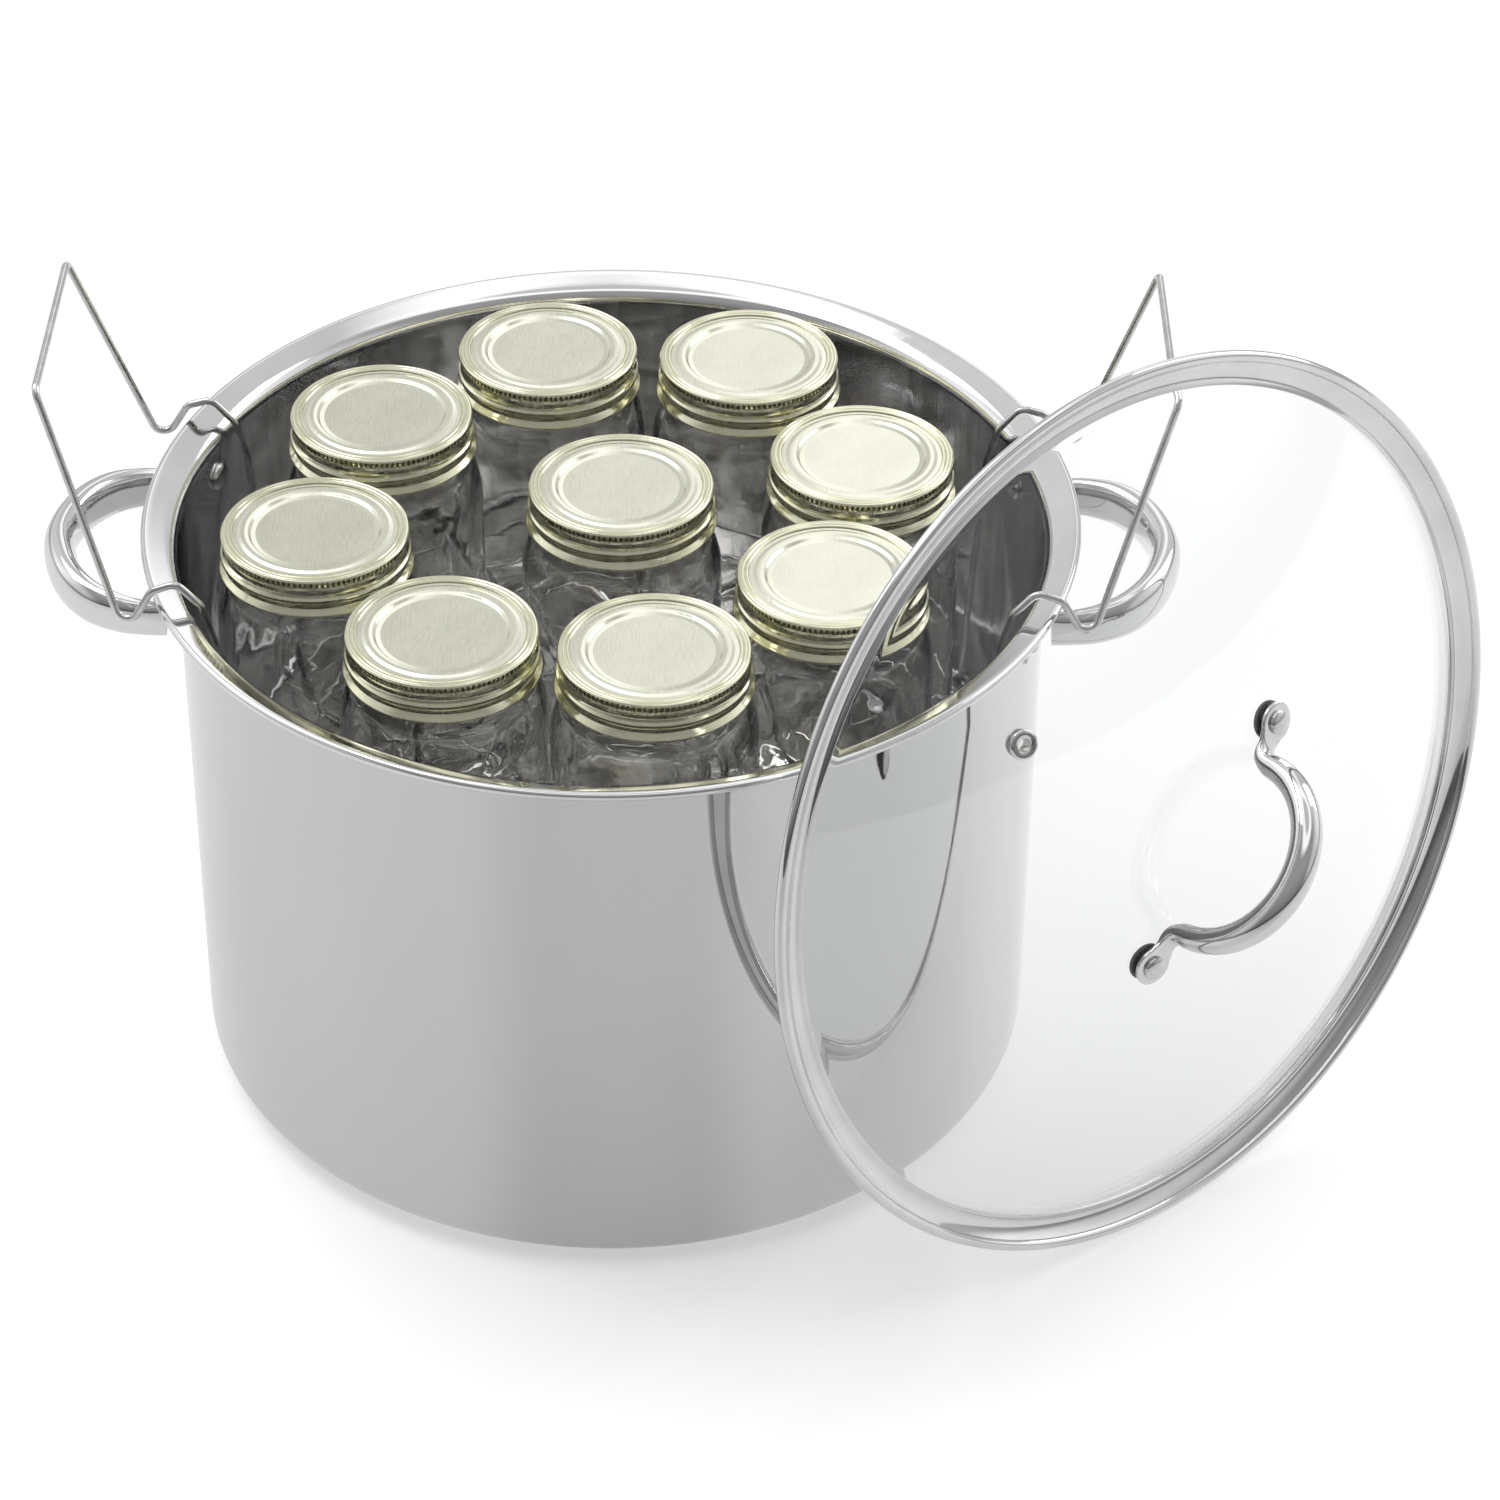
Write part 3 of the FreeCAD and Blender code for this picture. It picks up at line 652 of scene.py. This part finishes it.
# ---------------------------------------------------------------- jars
def jar_shell():
    """Thick glass with a raised foot ring, a rounded shoulder and a plain neck, uneven inside."""
    top = JAR_H - 0.9
    outer = [(0.0, 1.6), (18.0, 1.5), (24.0, 0.6), (27.0, 0.05)] + round_arc((JAR_R - 5, 5), 5, -80, 0, 8)
    outer += [(JAR_R, z) for z in (14, 26, 38, 50, 62, 74, 84, 90)]
    outer += arc3((JAR_R, 90.0), (36.2, 98.0), (33.2, 104.4), 10)[1:]
    outer += [(32.5, 106.0), (32.4, 110.0), (32.4, top - 0.8), (31.9, top - 0.1)]
    inner = [(30.2, top), (29.7, top - 0.6), (29.6, 112.0)]
    inner += arc3((29.6, 104.0), (33.4, 97.0), (JAR_R - 2.6, 88.0), 10)
    inner += [(JAR_R - 2.6, z) for z in (80, 70, 60, 50, 40, 30, 20, 12)]
    inner += round_arc((JAR_R - 7.6, 8.2), 5.0, 0, -90, 8) + [(16.0, 3.4), (0.0, 4.4)]
    inside_from = len(outer)

    def wobble(k, angle, r, z):
        if r < 20 or z > 106:
            return 0.0
        fade = math.sin(math.pi * min(1.0, max(0.0, z / 106))) ** 0.5
        slow = math.sin(3 * angle + 0.05 * z) * math.sin(0.06 * z + 1.3)
        quick = math.sin(7 * angle - 0.11 * z + 2.0) * math.sin(0.17 * z + 0.4)
        if k < inside_from:
            return -fade * (0.10 + 0.06 * slow + 0.04 * quick)
        return fade * (0.42 * slow + 0.30 * quick)

    return lathe(outer + inner, 144, closed=False, wobble=wobble)[:2]


def jar_lid_disc():
    """Pressed disc: a sunk middle, a raised ring and a flat edge that lies on the jar's lip."""
    low = JAR_H - 0.9
    corners = [
        (0.0, low - 0.35, 0), (21.6, low - 0.35, 0.4), (23.3, low - 0.1, 0.4), (24.3, low + 0.66, 0.3),
        (25.6, low + 0.86, 0.4), (27.0, low + 0.86, 0.4), (28.3, low + 0.45, 0.4), (32.5, low + 0.45, 0.1),
        (32.75, low + 0.3, 0.1), (32.75, low + 0.05, 0.1),
        (26.6, low + 0.03, 0.2), (25.0, low + 0.2, 0.3), (23.0, low - 0.48, 0.3), (0.0, low - 0.48, 0),
    ]
    return lathe(rounded(corners, steps=4), 160, closed=False)[:2]


def jar_screw_band():
    """Screw band: rolled inner edge, two fine steps, knurled edge, hollow neck, bead and rolled foot.

    The second value is 1 for the faces in the knurl's grooves, which get the darkened gold of painted shade.
    """
    top = JAR_H + 0.1
    corners = [
        (29.85, top - 0.35, 0.12), (30.15, top - 0.02, 0.15), (31.0, top - 0.02, 0.12),
        (31.35, top - 0.3, 0.12), (31.75, top - 0.02, 0.15), (32.6, top - 0.02, 0.12),
        (32.9, top - 0.22, 0.12), (33.2, top - 0.06, 0.15), (33.8, top - 0.12, 0.3), (34.3, top - 0.75, 0.3),
        (34.3, top - 1.1, 0.0), (34.3, top - 1.7, 0.0), (34.3, top - 2.3, 0.0), (34.28, top - 2.9, 0.0),
        (33.95, top - 3.5, 0.3), (33.55, top - 4.6, 0.6), (33.5, top - 6.4, 1.2), (34.0, top - 7.6, 0.5),
        (34.75, top - 8.3, 0.5), (34.8, top - 9.5, 0.6), (34.2, top - 10.4, 0.5), (33.75, top - 11.1, 0.5),
        (33.8, top - 12.2, 0.5), (34.7, top - 13.3, 0.6), (35.55, top - 14.2, 0.5), (35.55, top - 14.9, 0.3),
        (35.0, top - 15.35, 0.3), (34.4, top - 15.2, 0.2), (33.6, top - 13.0, 0.4), (33.3, top - 11.2, 0.4),
        (33.4, top - 8.0, 0.5), (33.1, top - 6.0, 0.5), (33.5, top - 3.0, 0.4), (33.3, top - 0.7, 0.3),
        (29.85, top - 0.5, 0.05),
    ]
    profile = rounded(corners, True, 3)
    teeth, tooth_depth = 108, 0.5

    def wobble(k, angle, r, z):
        depth = max(0.0, 1 - ((z - (top - 2.0)) / 1.15) ** 2)
        if r < 34.1 or depth <= 0:
            return 0.0
        return -tooth_depth * min(1.0, 1.6 * depth) * (0.5 - 0.5 * math.cos(teeth * angle))

    verts, faces, _ = lathe(profile, teeth * 4, closed=True, wobble=wobble)
    # Faces down in the knurl's grooves, marked for the painted shade.
    grooves = []
    for face in faces:
        x, y, z = (sum(verts[v][axis] for v in face) / len(face) for axis in range(3))
        sunk = math.cos(teeth * math.atan2(y, x)) < 0 and math.hypot(x, y) > 33.6
        grooves.append(1 if sunk and top - 2.75 < z < top - 1.15 else 0)
    return (verts, faces), grooves


JAR_PLACES = (
    (-106.8, -27.0), (-57.0, -89.7), (18.2, -99.3), (80.9, -52.0), (92.7, 26.1),
    (50.1, 94.4), (-27.3, 98.4), (-88.2, 51.4), (3.6, 4.5),
)
# knurl marks the groove faces that get the painted shade.
screw_band, knurl = jar_screw_band()
jar_parts = {  # label, shape, slot, look, each face's material, sharp angle
    "glass": ("body", jar_shell(), "jar_glass", JAR_GLASS, None, 60),
    "disc": ("sealing_disc", jar_lid_disc(), "closure_gold", DISC_GOLD, None, 30),
    "band": ("screw_band", screw_band, "closure_gold", [BAND_GOLD, KNURL_GROOVE_PAINTED_SHADE], knurl, 30),
}
meshes = {}
for number, (x, y) in enumerate(JAR_PLACES, start=1):
    body = "jar_%d" % number
    turns = {"glass": 41 * number, "disc": 6 * math.sin(2.3 * number), "band": 17 * number}
    for kind, (label, part, slot_name, look, marks, sharp) in jar_parts.items():
        turn = math.radians(turns[kind])
        place = Matrix.Translation((x * MM, y * MM, JAR_Z * MM)) @ Matrix.Rotation(turn, 4, "Z")
        name = "jar_%d_%s" % (number, label)
        nodes = ["jar_%s_%d" % (kind, number)]
        if kind in meshes:
            instance(name, meshes[kind], body, nodes, place)
        else:
            made = piece(name, part, body, look, nodes, sharp=sharp, indices=marks, matrix=place)
            meshes[kind] = made.data

# ---------------------------------------------------------------- lid
# The way the dome faces, how far it leans back, where it stands, and how far it is turned in its plane.
facing, lean, bearing, turned = (math.radians(d) for d in (-50.85, 10.4, -26.5, 47.5))
outward = Vector((math.cos(lean) * math.cos(facing), math.cos(lean) * math.sin(facing), math.sin(lean)))
level = Vector((-math.sin(facing), math.cos(facing), 0))
upslope = outward.cross(level)
along = level * math.cos(turned) + upslope * math.sin(turned)
across = outward.cross(along)
lid_centre = Vector((
    LID_AWAY * math.cos(bearing), LID_AWAY * math.sin(bearing),
    (LID_R - LID_BEAD) * math.cos(lean) - BEAD_Z * math.sin(lean) + LID_BEAD + 0.05,
))
STOOD = Matrix((
    (along.x, across.x, outward.x, lid_centre.x),
    (along.y, across.y, outward.y, lid_centre.y),
    (along.z, across.z, outward.z, lid_centre.z),
    (0, 0, 0, 1),
))


def dome_z(r, sphere=DOME_R):
    """Height of the glass above the lid's plane: its outer face, or the face of another sphere radius."""
    return DOME_C + math.sqrt(sphere ** 2 - r ** 2)


def on_dome(x, y):
    """Place on the glass's outer face, with Z square to it."""
    place = Vector((x, y, dome_z(math.hypot(x, y))))
    normal = (place - Vector((0, 0, DOME_C))).normalized()
    return Matrix.Translation(place) @ Vector((0, 0, 1)).rotation_difference(normal).to_matrix().to_4x4()


def lid_pane():
    """Domed glass of even thickness with a ground edge."""
    radii = [GLASS_R * i / 44 for i in range(44)]
    inner, ground = DOME_R - GLASS_T, GLASS_R - 0.4
    top = [(r, dome_z(r)) for r in radii]
    edge = [
        (ground, dome_z(ground)), (GLASS_R, dome_z(GLASS_R) - 0.5),
        (GLASS_R, dome_z(GLASS_R, inner) + 0.5), (ground, dome_z(ground, inner)),
    ]
    under = [(r, dome_z(r, inner)) for r in reversed(radii)]
    return lathe(top + edge + under, 192, closed=False)[:2]


PANE_SHARP = 40
pane = piece("lid_dome", moved(lid_pane(), STOOD), "lid", LID_GLASS, ["lid_glass"], sharp=PANE_SHARP)
cutter_mesh = raw_mesh("cutter", merged(*[
    moved(lathe([(0.0, -9), (r, -9), (r, 6), (0.0, 6)], 40, closed=False)[:2], STOOD @ on_dome(x, y))
    for x, y, r in ((RIVET_X, 0, 3.3), (-RIVET_X, 0, 3.3), (0, VENT_Y, 4.1))
]))
face_outwards(cutter_mesh)
cutter = bpy.data.objects.new("cutter", cutter_mesh)
scene.collection.objects.link(cutter)
cut = pane.modifiers.new("holes", "BOOLEAN")
cut.operation, cut.solver, cut.object = "DIFFERENCE", "EXACT", cutter
bpy.context.view_layer.update()
drilled = bpy.data.meshes.new_from_object(pane.evaluated_get(bpy.context.evaluated_depsgraph_get()))
pane.modifiers.clear()
pane.data = drilled
drilled.name = "lid_dome"
drilled.materials.clear()
drilled.materials.append(LID_GLASS)
smoothed(drilled, PANE_SHARP)
bpy.data.objects.remove(cutter)


def lid_rim():
    """Lips that grip the glass, a skirt, a hollow face that rises outwards, and a round bead."""
    skin, gap = 0.6, FIT
    lip_r, skirt_r, under_r = GLASS_R - 1.28, GLASS_R + 0.78, GLASS_R - 1.65
    lip_z, edge_z = dome_z(lip_r) + gap, DOME_EDGE + gap
    bead = round_arc((LID_R - LID_BEAD, BEAD_Z), LID_BEAD - 0.02, 178, -150, 34)
    lips = rounded([
        (skirt_r + 0.9, edge_z - 1.0, 0.4), (skirt_r, edge_z - 1.9, 0.4), (skirt_r, -7.75, 0.5),
        (under_r, -6.86, 0.2), (under_r, -6.3, 0.1), (GLASS_R + gap, -7.21, 0.0), (GLASS_R + gap, edge_z, 0.0),
        (lip_r, lip_z, 0.0), (lip_r + 0.02, lip_z + skin - 0.03, 0.25),
        (skirt_r - 0.5, edge_z + skin - 0.02, 0.5), (skirt_r + 0.5, edge_z + 0.02, 0.5),
    ], steps=5)
    slope = arc3((skirt_r + 1.2, edge_z + 0.02), (164.9, -1.2), (bead[0][0] - 0.12, bead[0][1] + 0.1), 14)
    return lathe(bead + lips + slope, 320)[:2]


piece("lid_rim_band", moved(lid_rim(), STOOD), "lid", LID_STEEL, ["lid_band"])


def lid_grip():
    """One bar: flat pear-shaped tab on the glass, bent up and rounded into the arch, and the same back."""
    stations = []  # x, z, half width, half thickness, and how round the section is
    eye = 7.2
    for i in range(17):
        x = RIVET_X + eye * math.cos(math.pi * i / 22)
        wide = max(0.02, math.sqrt(max(0.0, eye ** 2 - (x - RIVET_X) ** 2)))
        stations.append((x, dome_z(x) + 0.1 + TAB_T / 2, wide, TAB_T / 2, 0.0))
    for t in (0.2, 0.4, 0.6, 0.8, 1.0):
        x = stations[16][0] + (TAB_END - stations[16][0]) * t
        wide = stations[16][2] + (TAB_NECK - stations[16][2]) * (t * t * (3 - 2 * t))
        stations.append((x, dome_z(x) + 0.1 + TAB_T / 2, wide, TAB_T / 2 + 0.5 * t * t, 0.2 * t))
    bend_z = dome_z(TAB_END) + 0.1 + TAB_T / 2
    for i in range(1, 9):
        t = i / 9
        u = 1 - t
        x = u * u * TAB_END + 2 * u * t * (ARCH_R + 0.3) + t * t * ARCH_R
        z = u * u * bend_z + 2 * u * t * (bend_z + 0.3) + t * t * (ARCH_Z + 1.2)
        stations.append((x, z, TAB_NECK + 0.35 * t, 1.4 + 3.05 * t ** 0.8, 0.2 + 0.8 * t))
    for i in range(1, 40):
        angle = math.pi * i / 80
        radius = 4.45 + 1.45 * math.sin(angle)
        stations.append((ARCH_R * math.cos(angle), ARCH_Z + ARCH_R * math.sin(angle), radius, radius, 1.0))
    crown = [(0.0, ARCH_Z + ARCH_R, 5.9, 5.9, 1.0)]
    whole = stations + crown + [(-x, z, a, b, c) for x, z, a, b, c in reversed(stations)]
    path = [Vector((x, 0, z)) for x, z, *_ in whole]

    def section(k, t):
        wide, thick, round_ = whole[k][2:]
        power = 1.0 if round_ > 0.95 else 0.35 + 0.65 * round_
        across_power = power if thick < wide * 0.8 else 1.0
        c, s = math.cos(t), math.sin(t)
        return wide * math.copysign(abs(c) ** across_power, c), thick * math.copysign(abs(s) ** power, s)

    verts, faces = [], []
    sides, last = 40, len(path) - 1
    sideways = Vector((0, 1, 0))
    for k, place in enumerate(path):
        heading = (path[min(k + 1, last)] - path[max(k - 1, 0)]).normalized()
        up = heading.cross(sideways).normalized()
        for i in range(sides):
            a, u = section(k, TAU * i / sides)
            verts.append(tuple(place + sideways * a + up * u))
    for k in range(last):
        for i in range(sides):
            j = (i + 1) % sides
            faces.append([k * sides + i, k * sides + j, (k + 1) * sides + j, (k + 1) * sides + i])
    faces.append(list(range(sides))[::-1])
    faces.append([last * sides + i for i in range(sides)])
    return verts, faces


piece("lid_grip_arch", moved(lid_grip(), STOOD), "lid", GRIP_STEEL, ["lid_handle"], sharp=50)

def on_both_tabs(part):
    return merged(*[moved(part, STOOD @ on_dome(x, 0)) for x in (RIVET_X, -RIVET_X)])


# Heights above the glass's outer face, where it is pierced.
inside_z = -GLASS_T - 1.4 - 0.2
outside_z = TAB_T + 0.15
lid_rivet = lathe([
    (0.0, inside_z - 1.6), (4.2, inside_z - 1.6), (4.6, inside_z - 1.3), (4.6, inside_z - 0.3),
    (4.3, inside_z - 0.05), (3.0, inside_z - 0.05), (3.0, outside_z),
] + head(4.4, 2.2, outside_z), 48, closed=False)[:2]
piece(
    "lid_grip_rivets", on_both_tabs(lid_rivet), "lid", RIVET_STEEL, ["lid_rivets"], sharp=50,
)
high = -GLASS_T - 0.12
low = high - 1.4
washer = rounded([(3.1, low, 0.2), (7.0, low, 0.5), (7.0, high, 0.4), (3.1, high, 0.2)], True, 4)
lid_washer = lathe(washer, 56)[:2]
piece("lid_grip_washers", on_both_tabs(lid_washer), "lid", WASHER_RUBBER, ["lid_washers"])
eyelet = rounded([
    (2.4, -GLASS_T - 1.0, 0.4), (5.2, -GLASS_T - 1.0, 0.3), (5.2, -GLASS_T - 0.1, 0.2),
    (4.0, -GLASS_T - 0.1, 0.1), (4.0, 0.1, 0.1), (5.4, 0.1, 0.2), (5.4, 0.8, 0.5), (4.6, 1.2, 0.4), (2.4, 1.2, 0.5),
], True, 4)
vent = moved(lathe(eyelet, 56)[:2], STOOD @ on_dome(0, VENT_Y))
piece("lid_vent_eyelet", vent, "lid", GRIP_STEEL, ["lid_vent"])

# ---------------------------------------------------------------- studio
floor_mesh = bpy.data.meshes.new("studio_floor")
FLOOR_HALF, FLOOR_Z = 7.0, -0.0002
around = ((-1, -1), (1, -1), (1, 1), (-1, 1))
floor_mesh.from_pydata([(FLOOR_HALF * x, FLOOR_HALF * y, FLOOR_Z) for x, y in around], [], [(0, 1, 2, 3)])
floor = bpy.data.objects.new("studio_floor", floor_mesh)
scene.collection.objects.link(floor)
floor_look = bpy.data.materials.new("studio_floor")
floor_look.use_nodes = True
g = Graph(floor_look.node_tree)
# What the steel mirrors: a painted reflection, a glowing pattern of brighter and darker fans round the pot, in
# degrees from straight ahead of it.
place = g.node("ShaderNodeSeparateXYZ")
g.put(place.inputs[0], g.node("ShaderNodeNewGeometry").outputs["Position"])
fan = g.math("ARCTAN2", place.outputs[0], g.math("MULTIPLY", g.math("ADD", place.outputs[1], 0.081), -1.0))
fan = g.math("MULTIPLY", fan, 180 / math.pi)
# Painted shade in the reflection: a darker fan in front of the pot.
painted_dark_fan = g.math("MULTIPLY", g.span(fan, -42.0, -14.0), g.span(fan, 22.0, 46.0, 1.0, 0.0))
tone = g.math("SUBTRACT", g.span(fan, 50.0, 130.0, 0.86, 1.05), g.math("MULTIPLY", painted_dark_fan, 0.22))
# The floor itself: shaded near the pot and plain white further out.
away = g.node("ShaderNodeVectorMath", operation="DISTANCE")
g.put(away.inputs[0], g.node("ShaderNodeNewGeometry").outputs["Position"])
away.inputs[1].default_value = (0.07, -0.03, 0.0)
far = g.span(away.outputs["Value"], 0.26, 0.46)
shaded = g.node("ShaderNodeBsdfPrincipled")
shaded.inputs["Base Color"].default_value = (0.93, 0.93, 0.93, 1)
shaded.inputs["Roughness"].default_value = 0.22
shaded.inputs["Specular IOR Level"].default_value = 0.35
shaded = shaded.outputs[0]
ray = g.node("ShaderNodeLightPath").outputs
lifted = g.node("ShaderNodeAddShader")
g.put(lifted.inputs[0], shaded)
g.put(lifted.inputs[1], g.emission(g.math("MULTIPLY", g.math("SUBTRACT", 1.0, ray["Is Diffuse Ray"]), 0.36)))
seen = g.blend(far, lifted.outputs[0], g.emission(1.04))
# Reflected rays see part shaded floor and part glowing painted reflection fans.
glossy_floor_with_painted_fans = g.blend(0.62, shaded, g.emission(tone))
either = g.blend(ray["Is Glossy Ray"], seen, glossy_floor_with_painted_fans)
g.put(g.node("ShaderNodeOutputMaterial").inputs[0], either)
floor_mesh.materials.append(floor_look)

# The room: a back wall with a lighter and a darker part, dimmer front and sides, and a bright ceiling.
world = bpy.data.worlds.new("studio")
scene.world = world
world.use_nodes = True
g = Graph(world.node_tree)
direction = g.node("ShaderNodeSeparateXYZ")
g.put(direction.inputs[0], g.node("ShaderNodeTexCoord").outputs["Generated"])
dx, dy, dz = direction.outputs
azimuth = g.math("MULTIPLY", g.math("ARCTAN2", dx, dy), 180 / math.pi)
height = g.math("MULTIPLY", g.math("ARCSINE", dz), 180 / math.pi)
backness = g.span(dy, -0.25, 0.35)
back_wall = g.math("MULTIPLY", g.span(azimuth, -5.0, 4.0, 0.0, 0.85), g.span(azimuth, 10.0, 22.0, 1.0, 0.1))
back_wall = g.math("ADD", back_wall, g.span(azimuth, -22.0, -10.0, 1.02, 0.84))
front_wall = g.span(height, 5.0, 50.0, 0.30, 0.5)
back_part = g.math("MULTIPLY", back_wall, backness)
front_part = g.math("MULTIPLY", front_wall, g.math("SUBTRACT", 1.0, backness))
walls = g.math("ADD", back_part, front_part)
sides = g.span(g.math("ABSOLUTE", dx), 0.62, 0.9, 0.0, 0.55)
walls = g.math("ADD", walls, sides)
overhead = g.span(height, 58.0, 68.0)
zenith = g.span(height, 73.0, 79.0, 1.75, 0.88)
wall_part = g.math("MULTIPLY", walls, g.math("SUBTRACT", 1.0, overhead))
light = g.math("ADD", wall_part, g.math("MULTIPLY", overhead, zenith))
low_band = g.span(height, 3.0, 12.0, 0.45, 1.0)
light = g.math("MULTIPLY", light, low_band)
sky = g.node("ShaderNodeBackground")
g.put(sky.inputs["Strength"], light)
g.put(g.node("ShaderNodeOutputWorld").inputs[0], sky.outputs[0])


def area(name, place, aim, size, power):
    """Rectangular light at place, turned towards aim."""
    data = bpy.data.lights.new(name, "AREA")
    data.shape = "RECTANGLE"
    data.size, data.size_y = size
    data.energy = power
    obj = bpy.data.objects.new(name, data)
    scene.collection.objects.link(obj)
    obj.location = place
    obj.rotation_euler = (Vector(aim) - Vector(place)).to_track_quat("-Z", "Y").to_euler()


area("key_box", (-0.9, 0.5, 1.7), (0, 0, 0.1), (1.1, 1.1), 9.0)
area("rim_box", (1.4, 0.9, 1.2), (0.1, 0, 0.15), (0.7, 1.3), 7.0)

# ---------------------------------------------------------------- camera
CAMERA_AT = (0.05035, -1.37304, 1.15584)
yaw, pitch, roll = (math.radians(d) for d in (0.079, 37.005, 0.664))
ahead = Vector((math.sin(yaw) * math.cos(pitch), math.cos(yaw) * math.cos(pitch), -math.sin(pitch)))
right = Vector((math.cos(yaw), -math.sin(yaw), 0))
above = right.cross(ahead)
right, above = (
    math.cos(roll) * right + math.sin(roll) * above,
    -math.sin(roll) * right + math.cos(roll) * above,
)
camera = bpy.data.objects.new("camera", bpy.data.cameras.new("camera"))
scene.collection.objects.link(camera)
camera.data.sensor_width = 36.0
camera.data.lens = 107.395
camera.data.clip_start = 0.05
camera.matrix_world = Matrix((
    (right.x, above.x, -ahead.x, CAMERA_AT[0]),
    (right.y, above.y, -ahead.y, CAMERA_AT[1]),
    (right.z, above.z, -ahead.z, CAMERA_AT[2]),
    (0, 0, 0, 1),
))
scene.camera = camera
scene.view_settings.view_transform = "Standard"
scene.view_settings.look = "None"
scene.cycles.max_bounces = 20
scene.cycles.glossy_bounces = 14
scene.cycles.transmission_bounces = 16
